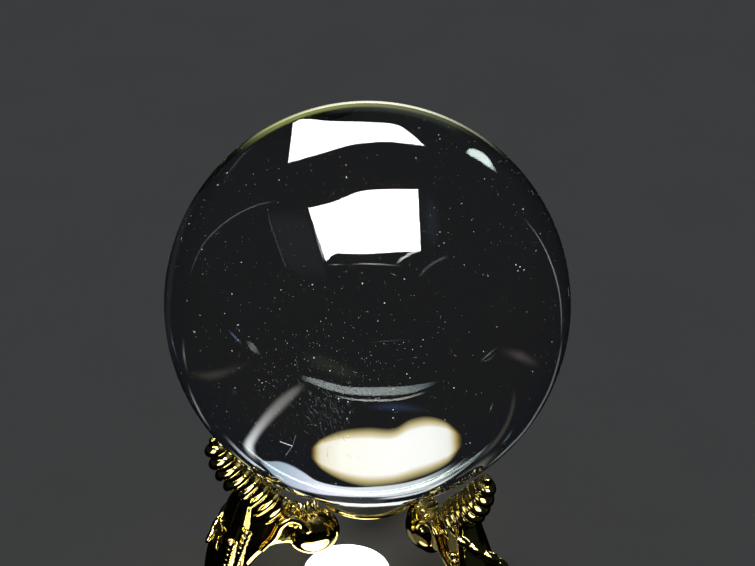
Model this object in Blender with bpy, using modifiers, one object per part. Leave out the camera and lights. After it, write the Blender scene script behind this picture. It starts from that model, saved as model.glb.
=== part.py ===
"""A polished clear quartz sphere resting on a gilt stand with three scroll legs and a thin ring.

Metres, +Z up. The origin is on the surface that the feet stand on, straight below the centre of the sphere.
Each leg is shaped in its own upright plane: u runs inward along the plane, v through the leg's thickness
and z up, with v = 0 in the middle of the leg. The plane passes beside the upright axis and not through it,
so the three legs, a third of a turn apart, swirl round the sphere.
"""

import math

import bmesh
import bpy
from mathutils import Matrix, Vector

MM = 0.001

# The sphere
SPHERE_RADIUS = 25 * MM
SPHERE_CENTRE_HEIGHT = 41.5 * MM
SPHERE_SEGMENTS = 48
SPHERE_RINGS = 24
CONTACT_GAP = 0.3 * MM

# The swirl of the legs
LEG_NAMES = ("leg_left", "leg_right", "leg_back")
LEG_TURN = math.radians(6)
LEG_STEP = math.radians(120)
LEG_SIDE_OFFSET = 3.75 * MM

# The volute, the round curl at the inner end of a leg
VOLUTE_CENTRE = (-7.5 * MM, 9.8 * MM)
VOLUTE_RADIUS = 3.5 * MM
VOLUTE_HALF_THICKNESS = 2.0 * MM
VOLUTE_RIM_WIRE = 0.42 * MM
VOLUTE_RIM_WIDTH = 2.2
VOLUTE_RIM_START = math.radians(160)
VOLUTE_RIM_SWEEP = math.radians(350)
VOLUTE_RIM_STEPS = 24

# The wide beads along the top of the volute
TOP_BEAD_COUNT = 5
TOP_BEAD_ANGLES = (math.radians(148), math.radians(76))
TOP_BEAD_LIFT = 0.05 * MM
TOP_BEAD_RADIUS = 0.5 * MM
TOP_BEAD_NECK_RADIUS = 0.3 * MM
TOP_BEAD_WIDTH = 3.2

# The web that fills the leg between its strands
WEB_HALF_THICKNESS = 1.1 * MM

# The cradling arm, narrower through the leg's thickness than it is deep, and the ribs across it
ARM_WIDTH = 0.8
RIB_COUNT = 9
RIB_HALF_WIDTHS = (0.95 * MM, 0.62 * MM)
RIB_RELIEFS = (0.5 * MM, 0.4 * MM)
RIB_OVERHANGS = (0.1 * MM, 0.95 * MM)
RIB_SHARES = (0.10, 0.93)

# The lower leg and its inner strand, wider through their thickness than they are deep
LOWER_LEG_WIDTH = 1.2
INNER_STRAND_WIDTH = 1.1

# The beaded strands on both flanks of the lower leg
STRAND_BEAD_PITCH = 0.85 * MM
STRAND_BEAD_RADIUS = 0.62 * MM
STRAND_NECK_RADIUS = 0.36 * MM

# The feet
FOOT_CENTRE_U = -20.2 * MM
FOOT_PAD_RADIUS = 2.7 * MM
FOOT_PAD_HEIGHT = 1.0 * MM
FOOT_PAD_DEPTH = 1.0 * MM
FOOT_PAD_SIDES = 24
TOE_HALF_SIZES = (2.9 * MM, 2.8 * MM, 2.3 * MM)

# The cast skin of a leg
CAST_VOXEL = 0.2 * MM
CAST_KEPT_SHARE = 0.042
CAST_SOFTENING = 0.5
CAST_SOFTENING_STEPS = 2
WELD_DISTANCE = 0.01 * MM

# The ring, seated in a groove in the beads on the shoulder of each volute
RING_RADIUS = 6.3 * MM
RING_WIRE_RADIUS = 0.32 * MM
RING_HEIGHT = 13.3 * MM
RING_SEGMENTS = 40
RING_SIDES = 8

SHARP_ANGLE = math.radians(50)


def clear_scene():
    for old in list(bpy.data.objects):
        bpy.data.objects.remove(old, do_unlink=True)


def new_collection(name):
    group = bpy.data.collections.new(name)
    bpy.context.scene.collection.children.link(group)
    return group


def principled(name, colour, roughness, metallic=0.0, transmission=0.0, ior=1.5):
    """A material with one Principled shader."""
    material = bpy.data.materials.new(name)
    material.use_nodes = True
    shader = material.node_tree.nodes["Principled BSDF"]
    shader.inputs["Base Color"].default_value = (*colour, 1.0)
    shader.inputs["Roughness"].default_value = roughness
    shader.inputs["Metallic"].default_value = metallic
    shader.inputs["Transmission Weight"].default_value = transmission
    shader.inputs["IOR"].default_value = ior
    return material


def spline_value(a, b, c, d, t):
    """The value a share t of the way from b to c on the Catmull-Rom curve through four values."""
    linear = (c - a) * t
    square = (2 * a - 5 * b + 4 * c - d) * t**2
    cube = (3 * b - a - 3 * c + d) * t**3
    return 0.5 * (2 * b + linear + square + cube)


def smooth_path(stations, steps):
    """Rows of numbers along a smooth curve through the stations, with so many steps to each span."""
    before = [2 * a - b for a, b in zip(stations[0], stations[1])]
    after = [2 * a - b for a, b in zip(stations[-1], stations[-2])]
    rows = [before, *stations, after]
    path = []
    for corners in zip(rows, rows[1:], rows[2:], rows[3:]):
        for step in range(steps):
            path.append([spline_value(*values, step / steps) for values in zip(*corners)])
    path.append(list(stations[-1]))
    return path


def between(pair, share):
    """The value a share of the way from the first of a pair to the second."""
    return pair[0] + (pair[1] - pair[0]) * share


def polar(centre, radius, angle):
    """The (u, z) point at a radius and an angle, from +u towards +z, round a centre."""
    return (centre[0] + radius * math.cos(angle), centre[1] + radius * math.sin(angle))


def object_from_curve(curve, group):
    """The curve's surface as a mesh object with its end caps welded."""
    carrier = bpy.data.objects.new(curve.name, curve)
    group.objects.link(carrier)
    evaluated = carrier.evaluated_get(bpy.context.evaluated_depsgraph_get())
    mesh = bpy.data.meshes.new_from_object(evaluated)
    bpy.data.objects.remove(carrier, do_unlink=True)
    shell = bmesh.new()
    shell.from_mesh(mesh)
    bmesh.ops.remove_doubles(shell, verts=shell.verts, dist=WELD_DISTANCE)
    shell.to_mesh(mesh)
    shell.free()
    solid = bpy.data.objects.new(curve.name, mesh)
    group.objects.link(solid)
    return solid


def tube(name, rows, group, resolution=2, width=1.0):
    """A round strand through rows of (u, v, z, radius); width scales it through the leg's thickness."""
    curve = bpy.data.curves.new(name, "CURVE")
    curve.dimensions = "3D"
    curve.bevel_depth = 1.0
    curve.bevel_resolution = resolution
    curve.use_fill_caps = True
    spline = curve.splines.new("POLY")
    spline.points.add(len(rows) - 1)
    for point, (u, v, z, radius) in zip(spline.points, rows):
        point.co = (u, v, z, 1.0)
        point.radius = radius
    solid = object_from_curve(curve, group)
    solid.data.transform(Matrix.Diagonal((1.0, width, 1.0, 1.0)))
    return solid


def plate(name, outline, half_thickness, group):
    """A flat plate in the leg's plane with a closed outline of (u, z) points."""
    curve = bpy.data.curves.new(name, "CURVE")
    curve.dimensions = "2D"
    curve.fill_mode = "BOTH"
    curve.extrude = half_thickness
    spline = curve.splines.new("POLY")
    spline.points.add(len(outline) - 1)
    for point, (u, z) in zip(spline.points, outline):
        point.co = (u, z, 0.0, 1.0)
    spline.use_cyclic_u = True
    solid = object_from_curve(curve, group)
    solid.data.transform(Matrix.Rotation(math.radians(90), 4, "X"))
    return solid


def ellipsoid(name, centre, half_sizes, group, tilt=0.0, segments=12, rings=8):
    """An ellipsoid at (u, v, z), tilted by an angle from +u towards +z."""
    shell = bmesh.new()
    bmesh.ops.create_uvsphere(shell, u_segments=segments, v_segments=rings, radius=1.0)
    placing = (
        Matrix.Translation(centre)
        @ Matrix.Rotation(-tilt, 4, "Y")
        @ Matrix.Diagonal((*half_sizes, 1.0))
    )
    bmesh.ops.transform(shell, matrix=placing, verts=shell.verts)
    mesh = bpy.data.meshes.new(name)
    shell.to_mesh(mesh)
    shell.free()
    solid = bpy.data.objects.new(name, mesh)
    group.objects.link(solid)
    return solid


def disc(name, centre, radius, half_height, sides, group):
    """A short upright cylinder."""
    shell = bmesh.new()
    bmesh.ops.create_cone(
        shell,
        cap_ends=True,
        segments=sides,
        radius1=radius,
        radius2=radius,
        depth=2 * half_height,
        matrix=Matrix.Translation(centre),
    )
    mesh = bpy.data.meshes.new(name)
    shell.to_mesh(mesh)
    shell.free()
    solid = bpy.data.objects.new(name, mesh)
    group.objects.link(solid)
    return solid


def cast_mesh(name, solids, group):
    """One closed skin round the overlapping solids, as if cast in one piece; the solids are removed."""
    gathered = bmesh.new()
    for solid in solids:
        gathered.from_mesh(solid.data)
        bpy.data.objects.remove(solid, do_unlink=True)
    mesh = bpy.data.meshes.new(name)
    gathered.to_mesh(mesh)
    gathered.free()
    carrier = bpy.data.objects.new(name, mesh)
    group.objects.link(carrier)
    skin = carrier.modifiers.new("skin", "REMESH")
    skin.mode = "VOXEL"
    skin.voxel_size = CAST_VOXEL
    soften = carrier.modifiers.new("soften", "SMOOTH")
    soften.factor = CAST_SOFTENING
    soften.iterations = CAST_SOFTENING_STEPS
    thin_out = carrier.modifiers.new("thin out", "DECIMATE")
    thin_out.ratio = CAST_KEPT_SHARE
    evaluated = carrier.evaluated_get(bpy.context.evaluated_depsgraph_get())
    cast = bpy.data.meshes.new_from_object(evaluated)
    bpy.data.objects.remove(carrier, do_unlink=True)
    return cast


def cut_level(shell, height):
    """Cuts the shell off below a height and closes it with flat faces."""
    everything = shell.verts[:] + shell.edges[:] + shell.faces[:]
    cut = bmesh.ops.bisect_plane(
        shell,
        geom=everything,
        plane_co=(0.0, 0.0, height),
        plane_no=(0.0, 0.0, 1.0),
        clear_inner=True,
    )
    rim = [item for item in cut["geom_cut"] if isinstance(item, bmesh.types.BMEdge)]
    bmesh.ops.holes_fill(shell, edges=rim, sides=0)


def press_clear(shell, centre, radius):
    """Moves the vertices that lie within a radius of a centre out to that radius."""
    for vertex in shell.verts:
        reach = vertex.co - centre
        if reach.length < radius:
            vertex.co = centre + reach.normalized() * radius


def arm_path():
    """The arm that cradles the sphere, from its tip at the sphere down to the volute: (u, z, radius)."""
    stations = [
        (-19.75, 25.30, 0.60),
        (-19.05, 23.20, 1.15),
        (-17.70, 20.90, 1.50),
        (-15.90, 18.60, 1.65),
        (-14.00, 16.50, 1.60),
        (-12.20, 14.40, 1.40),
        (-10.80, 12.90, 1.10),
        (-9.70, 11.90, 0.90),
    ]
    return [[value * MM for value in row] for row in smooth_path(stations, 2)]


def arm_solid(group):
    rows = [(u, 0.0, z, radius) for u, z, radius in arm_path()]
    return tube("arm", rows, group, resolution=3, width=ARM_WIDTH)


def lower_leg_solid(group):
    """The leg from the back of the arm down to the toe."""
    stations = [
        (-16.0, 17.3, 1.2),
        (-16.7, 14.5, 1.6),
        (-17.6, 11.6, 2.0),
        (-18.5, 8.5, 2.4),
        (-19.1, 5.4, 2.4),
        (-19.9, 2.4, 1.9),
    ]
    rows = [(u * MM, 0.0, z * MM, radius * MM) for u, z, radius in smooth_path(stations, 2)]
    return tube("lower leg", rows, group, resolution=3, width=LOWER_LEG_WIDTH)


def inner_strand_solid(group):
    """The strand that leaves the underside of the volute and runs down the leg's inner edge."""
    stations = [
        (-9.4, 8.4, 0.75),
        (-11.6, 9.4, 1.0),
        (-13.6, 8.8, 1.15),
        (-15.7, 7.0, 1.25),
        (-17.6, 4.0, 1.2),
        (-18.6, 2.2, 1.0),
    ]
    rows = [(u * MM, 0.0, z * MM, radius * MM) for u, z, radius in smooth_path(stations, 2)]
    return tube("inner strand", rows, group, resolution=2, width=INNER_STRAND_WIDTH)


def web_solid(group):
    """The thin plate between the arm, the lower leg and the inner strand."""
    outline = [
        (-19.0, 23.2),
        (-15.9, 18.6),
        (-12.2, 14.4),
        (-10.0, 11.9),
        (-10.0, 8.8),
        (-13.6, 8.8),
        (-15.7, 7.0),
        (-17.8, 3.6),
        (-19.9, 2.4),
        (-19.1, 5.4),
        (-18.5, 8.5),
        (-17.6, 11.6),
        (-16.7, 14.5),
        (-17.3, 18.0),
    ]
    return plate("web", [(u * MM, z * MM) for u, z in outline], WEB_HALF_THICKNESS, group)


def rib_solids(group):
    """Rounded ribs that lie across the arm and grow smaller towards the volute."""
    path = arm_path()
    spans = [math.dist(a[:2], b[:2]) for a, b in zip(path, path[1:])]
    total = sum(spans)
    ribs = []
    for k in range(RIB_COUNT):
        share = k / (RIB_COUNT - 1)
        along = total * between(RIB_SHARES, share)
        row = 0
        while along > spans[row]:
            along -= spans[row]
            row += 1
        u, z, radius = (between(pair, along / spans[row]) for pair in zip(path[row], path[row + 1]))
        heading = Vector(path[row + 1][:2]) - Vector(path[row][:2])
        tilt = math.atan2(heading[1], heading[0])
        relief = between(RIB_RELIEFS, share)
        overhang = between(RIB_OVERHANGS, share)
        ribs.append(
            ellipsoid(
                f"rib {k + 1}",
                (u + math.sin(tilt) * overhang, 0.0, z - math.cos(tilt) * overhang),
                (between(RIB_HALF_WIDTHS, share), radius * ARM_WIDTH + relief, radius + relief + overhang),
                group,
                tilt=tilt,
                segments=10,
                rings=6,
            )
        )
    return ribs


def volute_solids(group):
    """The bulging button, its rim wire and the curled ridge on each of its faces."""
    u, z = VOLUTE_CENTRE
    inner = VOLUTE_RADIUS - VOLUTE_RIM_WIRE
    button = ellipsoid(
        "volute button",
        (u, 0.0, z),
        (inner, VOLUTE_HALF_THICKNESS, inner),
        group,
        segments=20,
        rings=10,
    )
    rim_rows = []
    for k in range(VOLUTE_RIM_STEPS + 1):
        angle = VOLUTE_RIM_START - VOLUTE_RIM_SWEEP * k / VOLUTE_RIM_STEPS
        rim_u, rim_z = polar(VOLUTE_CENTRE, inner, angle)
        rim_rows.append((rim_u, 0.0, rim_z, VOLUTE_RIM_WIRE))
    rim = tube("volute rim", rim_rows, group, resolution=2, width=VOLUTE_RIM_WIDTH)
    ridge_stations = [
        (-14.2, 1.2, 8.1, 0.40),
        (-13.4, 1.3, 9.1, 0.45),
        (-12.5, 1.3, 10.3, 0.50),
        (-11.7, 1.4, 12.0, 0.55),
        (-10.4, 1.5, 13.1, 0.55),
        (-9.0, 1.7, 12.6, 0.50),
        (-8.1, 1.9, 11.2, 0.45),
    ]
    ridges = []
    for side in (-1, 1):
        rows = [
            (row_u * MM, side * row_v * MM, row_z * MM, radius * MM)
            for row_u, row_v, row_z, radius in smooth_path(ridge_stations, 3)
        ]
        ridges.append(tube(f"ridge {side}", rows, group, resolution=1))
    return [button, rim, *ridges]


def beaded_rows(start, end, v, bead_radius, neck_radius, pitch):
    """Rows for a straight strand whose radius swells into beads."""
    start = Vector(start)
    end = Vector(end)
    beads = max(2, round((end - start).length / pitch))
    rows = []
    for k in range(2 * beads + 1):
        point = start.lerp(end, k / (2 * beads))
        rows.append((point[0], v, point[1], bead_radius if k % 2 else neck_radius))
    return rows


def strand_solids(group):
    """Two beaded strands on each flank of the lower leg."""
    courses = [
        ((-16.2, 11.6), (-18.8, 4.0), 2.2),
        ((-18.1, 10.2), (-19.9, 4.0), 2.7),
    ]
    strands = []
    for number, (start, end, depth) in enumerate(courses):
        for side in (-1, 1):
            rows = beaded_rows(
                (start[0] * MM, start[1] * MM),
                (end[0] * MM, end[1] * MM),
                side * depth * MM,
                STRAND_BEAD_RADIUS,
                STRAND_NECK_RADIUS,
                STRAND_BEAD_PITCH,
            )
            strands.append(tube(f"strand {number} {side}", rows, group, resolution=1))
    return strands


def volute_top_beads(group):
    """A short row of wide beads over the top of the volute, in which the ring sits."""
    rows = []
    for k in range(2 * TOP_BEAD_COUNT + 1):
        angle = between(TOP_BEAD_ANGLES, k / (2 * TOP_BEAD_COUNT))
        u, z = polar(VOLUTE_CENTRE, VOLUTE_RADIUS + TOP_BEAD_LIFT, angle)
        rows.append((u, 0.0, z, TOP_BEAD_RADIUS if k % 2 else TOP_BEAD_NECK_RADIUS))
    return tube("volute beads", rows, group, resolution=1, width=TOP_BEAD_WIDTH)


def leg_mesh(group):
    """One leg in its own plane, trimmed where it would touch the sphere."""
    toe = ellipsoid(
        "toe",
        (FOOT_CENTRE_U, 0.0, TOE_HALF_SIZES[2]),
        TOE_HALF_SIZES,
        group,
        segments=16,
        rings=8,
    )
    pad = disc(
        "pad",
        (FOOT_CENTRE_U, 0.0, (FOOT_PAD_HEIGHT - FOOT_PAD_DEPTH) / 2),
        FOOT_PAD_RADIUS,
        (FOOT_PAD_HEIGHT + FOOT_PAD_DEPTH) / 2,
        FOOT_PAD_SIDES,
        group,
    )
    solids = [
        web_solid(group),
        arm_solid(group),
        lower_leg_solid(group),
        inner_strand_solid(group),
        *rib_solids(group),
        *volute_solids(group),
        *strand_solids(group),
        volute_top_beads(group),
        toe,
        pad,
    ]
    mesh = cast_mesh("leg", solids, group)
    shell = bmesh.new()
    shell.from_mesh(mesh)
    cut_level(shell, 0.0)
    press_clear(shell, Vector((0.0, LEG_SIDE_OFFSET, SPHERE_CENTRE_HEIGHT)), SPHERE_RADIUS + CONTACT_GAP)
    shell.to_mesh(mesh)
    shell.free()
    return grooved_mesh(mesh, group)


def grooved_mesh(mesh, group):
    """The leg's mesh with a groove for the ring cut in the shoulder of the volute."""
    leg = bpy.data.objects.new("grooved leg", mesh)
    group.objects.link(leg)
    bpy.ops.mesh.primitive_torus_add(
        major_segments=RING_SEGMENTS,
        minor_segments=RING_SIDES,
        major_radius=RING_RADIUS,
        minor_radius=RING_WIRE_RADIUS + CONTACT_GAP,
        location=(0.0, LEG_SIDE_OFFSET, RING_HEIGHT),
    )
    cutter = bpy.context.object
    groove = leg.modifiers.new("groove", "BOOLEAN")
    groove.operation = "DIFFERENCE"
    groove.solver = "EXACT"
    groove.object = cutter
    evaluated = leg.evaluated_get(bpy.context.evaluated_depsgraph_get())
    grooved = bpy.data.meshes.new_from_object(evaluated)
    for helper in (leg, cutter):
        bpy.data.objects.remove(helper, do_unlink=True)
    return grooved


def finish_mesh(mesh, material):
    mesh.materials.clear()
    mesh.materials.append(material)
    mesh.shade_smooth()
    mesh.set_sharp_from_angle(angle=SHARP_ANGLE)


def add_legs(parts, shaping, stand, gilt):
    mesh = leg_mesh(shaping)
    finish_mesh(mesh, gilt)
    for k, name in enumerate(LEG_NAMES):
        turn = LEG_TURN + k * LEG_STEP
        leg = bpy.data.objects.new(name, mesh)
        leg.rotation_euler = (0.0, 0.0, turn)
        leg.location = Matrix.Rotation(turn, 3, "Z") @ Vector((0.0, -LEG_SIDE_OFFSET, 0.0))
        leg.parent = stand
        parts.objects.link(leg)


def add_ring(parts, stand, gilt):
    bpy.ops.mesh.primitive_torus_add(
        major_segments=RING_SEGMENTS,
        minor_segments=RING_SIDES,
        major_radius=RING_RADIUS,
        minor_radius=RING_WIRE_RADIUS,
        location=(0.0, 0.0, RING_HEIGHT),
    )
    ring = bpy.context.object
    ring.name = "ring"
    ring.parent = stand
    for group in list(ring.users_collection):
        group.objects.unlink(ring)
    parts.objects.link(ring)
    finish_mesh(ring.data, gilt)


def add_sphere(parts, quartz):
    bpy.ops.mesh.primitive_uv_sphere_add(
        segments=SPHERE_SEGMENTS,
        ring_count=SPHERE_RINGS,
        radius=SPHERE_RADIUS,
        location=(0.0, 0.0, SPHERE_CENTRE_HEIGHT),
    )
    sphere = bpy.context.object
    sphere.name = "sphere"
    for group in list(sphere.users_collection):
        group.objects.unlink(sphere)
    parts.objects.link(sphere)
    finish_mesh(sphere.data, quartz)


def main():
    clear_scene()
    parts = new_collection("quartz sphere")
    shaping = new_collection("shaping solids")
    quartz = principled("clear quartz", (0.97, 0.98, 1.0), 0.0, transmission=1.0, ior=1.544)
    gilt = principled("polished gilt", (0.83, 0.62, 0.22), 0.14, metallic=1.0)
    stand = bpy.data.objects.new("stand", None)
    parts.objects.link(stand)
    add_sphere(parts, quartz)
    add_legs(parts, shaping, stand, gilt)
    add_ring(parts, stand, gilt)


main()
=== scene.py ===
"""The looks of a clear quartz sphere resting on a gilt stand with three scroll legs and a thin ring.

Metres, +Z up, with the viewer at -Y. Shapes of the stand are worked out in millimetres in a leg's own
upright plane (u inward, v through the thickness, z up) and then placed. Places on the ball are named by the
pixel at which the photograph, 755 by 566, shows them.
"""

import math
import random

import bmesh
import bpy
import numpy as np
from mathutils import Matrix, Vector


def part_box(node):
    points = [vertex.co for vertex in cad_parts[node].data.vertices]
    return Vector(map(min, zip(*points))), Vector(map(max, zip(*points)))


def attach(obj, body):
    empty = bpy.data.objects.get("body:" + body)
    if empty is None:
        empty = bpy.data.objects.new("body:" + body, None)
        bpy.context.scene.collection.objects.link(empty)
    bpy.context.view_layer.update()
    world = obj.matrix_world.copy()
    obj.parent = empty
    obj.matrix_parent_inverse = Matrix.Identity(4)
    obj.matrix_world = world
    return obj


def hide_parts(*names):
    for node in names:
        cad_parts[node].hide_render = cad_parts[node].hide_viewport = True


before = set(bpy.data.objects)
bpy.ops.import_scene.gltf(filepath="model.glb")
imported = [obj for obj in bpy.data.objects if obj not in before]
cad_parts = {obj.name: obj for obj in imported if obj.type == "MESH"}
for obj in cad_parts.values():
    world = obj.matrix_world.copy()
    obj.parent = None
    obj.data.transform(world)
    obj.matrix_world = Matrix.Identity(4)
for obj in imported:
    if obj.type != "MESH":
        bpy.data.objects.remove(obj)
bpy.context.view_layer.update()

MM = 0.001
UP = Vector((0.0, 0.0, 1.0))
STAND_UP = Matrix.Rotation(math.radians(90), 4, "X")

# The table
FLOOR_SIZE = 6.0
FLOOR_DROP = 0.00005
FLOOR_ALBEDO = 0.72
FLOOR_MOTTLE = 0.03
# Painted dark reflections and a painted darker view through the ball: the floor's tone where it is mirrored
# and where the ball shows it through
FLOOR_PAINTED_MIRRORED_ALBEDO = 0.01
FLOOR_PAINTED_SEEN_THROUGH_ALBEDO = 0.18
POOL_CENTRE = (-2.8 * MM, -0.6 * MM)
POOL_RADIUS = 5.7 * MM
POOL_LIGHT_HEIGHT = 16.2 * MM
POOL_RADIANCE = 14.0
POOL_BLEND = 0.12
FLOOR_RADIANCE = 0.042

# The ball, from the frame
ball_low, ball_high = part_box("sphere")
BALL_CENTRE = (ball_low + ball_high) / 2
BALL_RADIUS = (ball_high.z - ball_low.z) / 2
QUARTZ_IOR = 1.544

# The camera
PHOTO_WIDTH = 755
PHOTO_HEIGHT = 566
CAMERA_LENS = 135.0
CAMERA_SENSOR = 36.0
CAMERA_ELEVATION = math.radians(33)
CAMERA_DISTANCE = 348.8 * MM
BALL_CENTRE_PIXEL = (367.5, 304.0)
FOCAL_PIXELS = PHOTO_WIDTH * CAMERA_LENS / CAMERA_SENSOR

VIEW_FORWARD = Vector((0.0, math.cos(CAMERA_ELEVATION), -math.sin(CAMERA_ELEVATION)))
VIEW_RIGHT = Vector((1.0, 0.0, 0.0))
VIEW_UP = VIEW_RIGHT.cross(VIEW_FORWARD)
METRES_PER_PIXEL = CAMERA_DISTANCE / FOCAL_PIXELS
AIM = (
    BALL_CENTRE
    + VIEW_RIGHT * (PHOTO_WIDTH / 2 - BALL_CENTRE_PIXEL[0]) * METRES_PER_PIXEL
    + VIEW_UP * (BALL_CENTRE_PIXEL[1] - PHOTO_HEIGHT / 2) * METRES_PER_PIXEL
)
CAMERA_PLACE = AIM - VIEW_FORWARD * CAMERA_DISTANCE


def pixel_ray(x, y):
    """The direction from the camera through a pixel."""
    ray = VIEW_FORWARD * FOCAL_PIXELS + VIEW_RIGHT * (x - PHOTO_WIDTH / 2) - VIEW_UP * (y - PHOTO_HEIGHT / 2)
    return ray.normalized()


def on_ball(x, y):
    """The point of the ball's near side that a pixel shows."""
    ray = pixel_ray(x, y)
    offset = CAMERA_PLACE - BALL_CENTRE
    along = offset.dot(ray)
    reach = along * along - (offset.length_squared - BALL_RADIUS**2)
    return CAMERA_PLACE + ray * (-along - math.sqrt(max(reach, 0.0)))


def bend(ray, normal, ratio):
    """Snell's law: a ray that meets a surface, with the ratio of the indices before and behind it."""
    cosine = -normal.dot(ray)
    return ratio * ray + (ratio * cosine - math.sqrt(1 - ratio**2 * (1 - cosine**2))) * normal


def mirror_share(cosine):
    """The share of light that the quartz surface reflects, for a ray in air at that cosine."""
    inner = math.sqrt(1 - (1 - cosine**2) / QUARTZ_IOR**2)
    across = ((cosine - QUARTZ_IOR * inner) / (cosine + QUARTZ_IOR * inner)) ** 2
    along = ((inner - QUARTZ_IOR * cosine) / (inner + QUARTZ_IOR * cosine)) ** 2
    return (across + along) / 2


def trace(x, y, course):
    """Follows the view through a pixel by way of the ball.

    Returns the point where it leaves the ball, its direction there and the share of light that it keeps.
    """
    ray = pixel_ray(x, y)
    near = on_ball(x, y)
    normal = (near - BALL_CENTRE).normalized()
    share = mirror_share(max(-normal.dot(ray), 0.0))
    if course == "mirrored":
        return near, ray - 2 * ray.dot(normal) * normal, share
    inside = bend(ray, normal, 1 / QUARTZ_IOR)
    far = near - inside * 2 * inside.dot(near - BALL_CENTRE)
    normal = (far - BALL_CENTRE).normalized()
    if course == "through":
        return far, bend(inside, -normal, QUARTZ_IOR), (1 - share) ** 2
    inside = inside - 2 * inside.dot(normal) * normal
    side = far - inside * 2 * inside.dot(far - BALL_CENTRE)
    normal = (side - BALL_CENTRE).normalized()
    return side, bend(inside, -normal, QUARTZ_IOR), (1 - share) ** 2 * share


def new_object(name, data):
    made = bpy.data.objects.new(name, data)
    bpy.context.scene.collection.objects.link(made)
    return made


def make_camera():
    data = bpy.data.cameras.new("camera")
    data.lens = CAMERA_LENS
    data.sensor_width = CAMERA_SENSOR
    data.clip_start = 0.01
    data.clip_end = 20.0
    camera = new_object("camera", data)
    camera.location = CAMERA_PLACE
    camera.rotation_euler = VIEW_FORWARD.to_track_quat("-Z", "Y").to_euler()
    bpy.context.scene.camera = camera


# Materials


def new_material(name):
    material = bpy.data.materials.new(name)
    material.use_nodes = True
    nodes = material.node_tree.nodes
    return material, nodes, material.node_tree.links, nodes["Principled BSDF"]


def add_noise(nodes, links, scale, detail=4.0):
    coordinates = nodes.new("ShaderNodeTexCoord")
    noise = nodes.new("ShaderNodeTexNoise")
    noise.inputs["Scale"].default_value = scale
    noise.inputs["Detail"].default_value = detail
    links.new(coordinates.outputs["Object"], noise.inputs["Vector"])
    return noise.outputs["Fac"]


def add_range(nodes, links, source, low, high, to_low, to_high):
    ranged = nodes.new("ShaderNodeMapRange")
    ranged.inputs["From Min"].default_value = low
    ranged.inputs["From Max"].default_value = high
    ranged.inputs["To Min"].default_value = to_low
    ranged.inputs["To Max"].default_value = to_high
    links.new(source, ranged.inputs["Value"])
    return ranged.outputs["Result"]


def add_mix(nodes, links, factor, first, second):
    """A mix of two colours, of which the first may be another node's."""
    mix = nodes.new("ShaderNodeMix")
    mix.data_type = "RGBA"
    links.new(factor, mix.inputs[0])
    if isinstance(first, tuple):
        mix.inputs[6].default_value = (*first, 1.0)
    else:
        links.new(first, mix.inputs[6])
    mix.inputs[7].default_value = (*second, 1.0)
    return mix.outputs[2]


def add_math(nodes, links, operation, first, second):
    """Another node's value combined with a second one or with a number."""
    made = nodes.new("ShaderNodeMath")
    made.operation = operation
    links.new(first, made.inputs[0])
    if isinstance(second, float):
        made.inputs[1].default_value = second
    else:
        links.new(second, made.inputs[1])
    return made.outputs["Value"]


def add_bump(nodes, links, height, distance, shader):
    bump = nodes.new("ShaderNodeBump")
    bump.inputs["Distance"].default_value = distance
    links.new(height, bump.inputs["Height"])
    links.new(bump.outputs["Normal"], shader.inputs["Normal"])


def quartz_material():
    """Water-clear polished quartz with the faintest cloud in its colour."""
    material, nodes, links, shader = new_material("clear quartz")
    cloud = add_noise(nodes, links, 45.0)
    tone = add_mix(nodes, links, cloud, (0.985, 0.99, 1.0), (1.0, 1.0, 1.0))
    links.new(tone, shader.inputs["Base Color"])
    shader.inputs["Roughness"].default_value = 0.0
    shader.inputs["IOR"].default_value = QUARTZ_IOR
    shader.inputs["Transmission Weight"].default_value = 1.0
    return material


GILT_COLOUR = (0.92, 0.74, 0.24)
# Painted shade: the gilt's darker, browner tone in its hollows
GILT_HOLLOW_SHADE_COLOUR = (0.42, 0.22, 0.05)
GILT_ROUGHNESS = (0.04, 0.11)
GILT_GRAIN_DEPTH = 0.012 * MM


def gilt_material():
    """Polished gilt with painted shade, darker and browner in the hollows, and a slightly uneven polish."""
    material, nodes, links, shader = new_material("polished gilt")
    hollow_shade = nodes.new("ShaderNodeAttribute")
    hollow_shade.attribute_name = HOLLOW_SHADE_ATTRIBUTE
    # Painted shade: darker, browner gilt in the hollows
    tone = add_mix(nodes, links, hollow_shade.outputs["Fac"], GILT_COLOUR, GILT_HOLLOW_SHADE_COLOUR)
    links.new(tone, shader.inputs["Base Color"])
    polish = add_noise(nodes, links, 900.0)
    links.new(add_range(nodes, links, polish, 0.3, 0.7, *GILT_ROUGHNESS), shader.inputs["Roughness"])
    grain = add_noise(nodes, links, 1600.0, detail=2.0)
    add_bump(nodes, links, grain, GILT_GRAIN_DEPTH, shader)
    shader.inputs["Metallic"].default_value = 1.0
    return material


def matt_material(name, dim, bright):
    """A matt grain or fibre whose tone wanders between two colours."""
    material, nodes, links, shader = new_material(name)
    shade = add_noise(nodes, links, 700.0)
    links.new(add_mix(nodes, links, shade, dim, bright), shader.inputs["Base Color"])
    shader.inputs["Roughness"].default_value = 0.6
    return material


# Shapes


def smooth_path(stations, steps):
    """Rows of numbers along a Catmull-Rom curve through the stations, with so many steps to each span."""
    rows = np.array([stations[0], *stations, stations[-1]], float)
    rows[0] = 2 * rows[1] - rows[2]
    rows[-1] = 2 * rows[-2] - rows[-3]
    path = []
    for a, b, c, d in zip(rows, rows[1:], rows[2:], rows[3:]):
        for t in np.arange(steps) / steps:
            square = (2 * a - 5 * b + 4 * c - d) * t**2
            cube = (3 * b - a - 3 * c + d) * t**3
            path.append(0.5 * (2 * b + (c - a) * t + square + cube))
    path.append(rows[-2])
    return [[float(value) for value in row] for row in path]


def between(pair, share):
    """The value a share of the way from the first of a pair to the second."""
    return pair[0] + (pair[1] - pair[0]) * share


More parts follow.
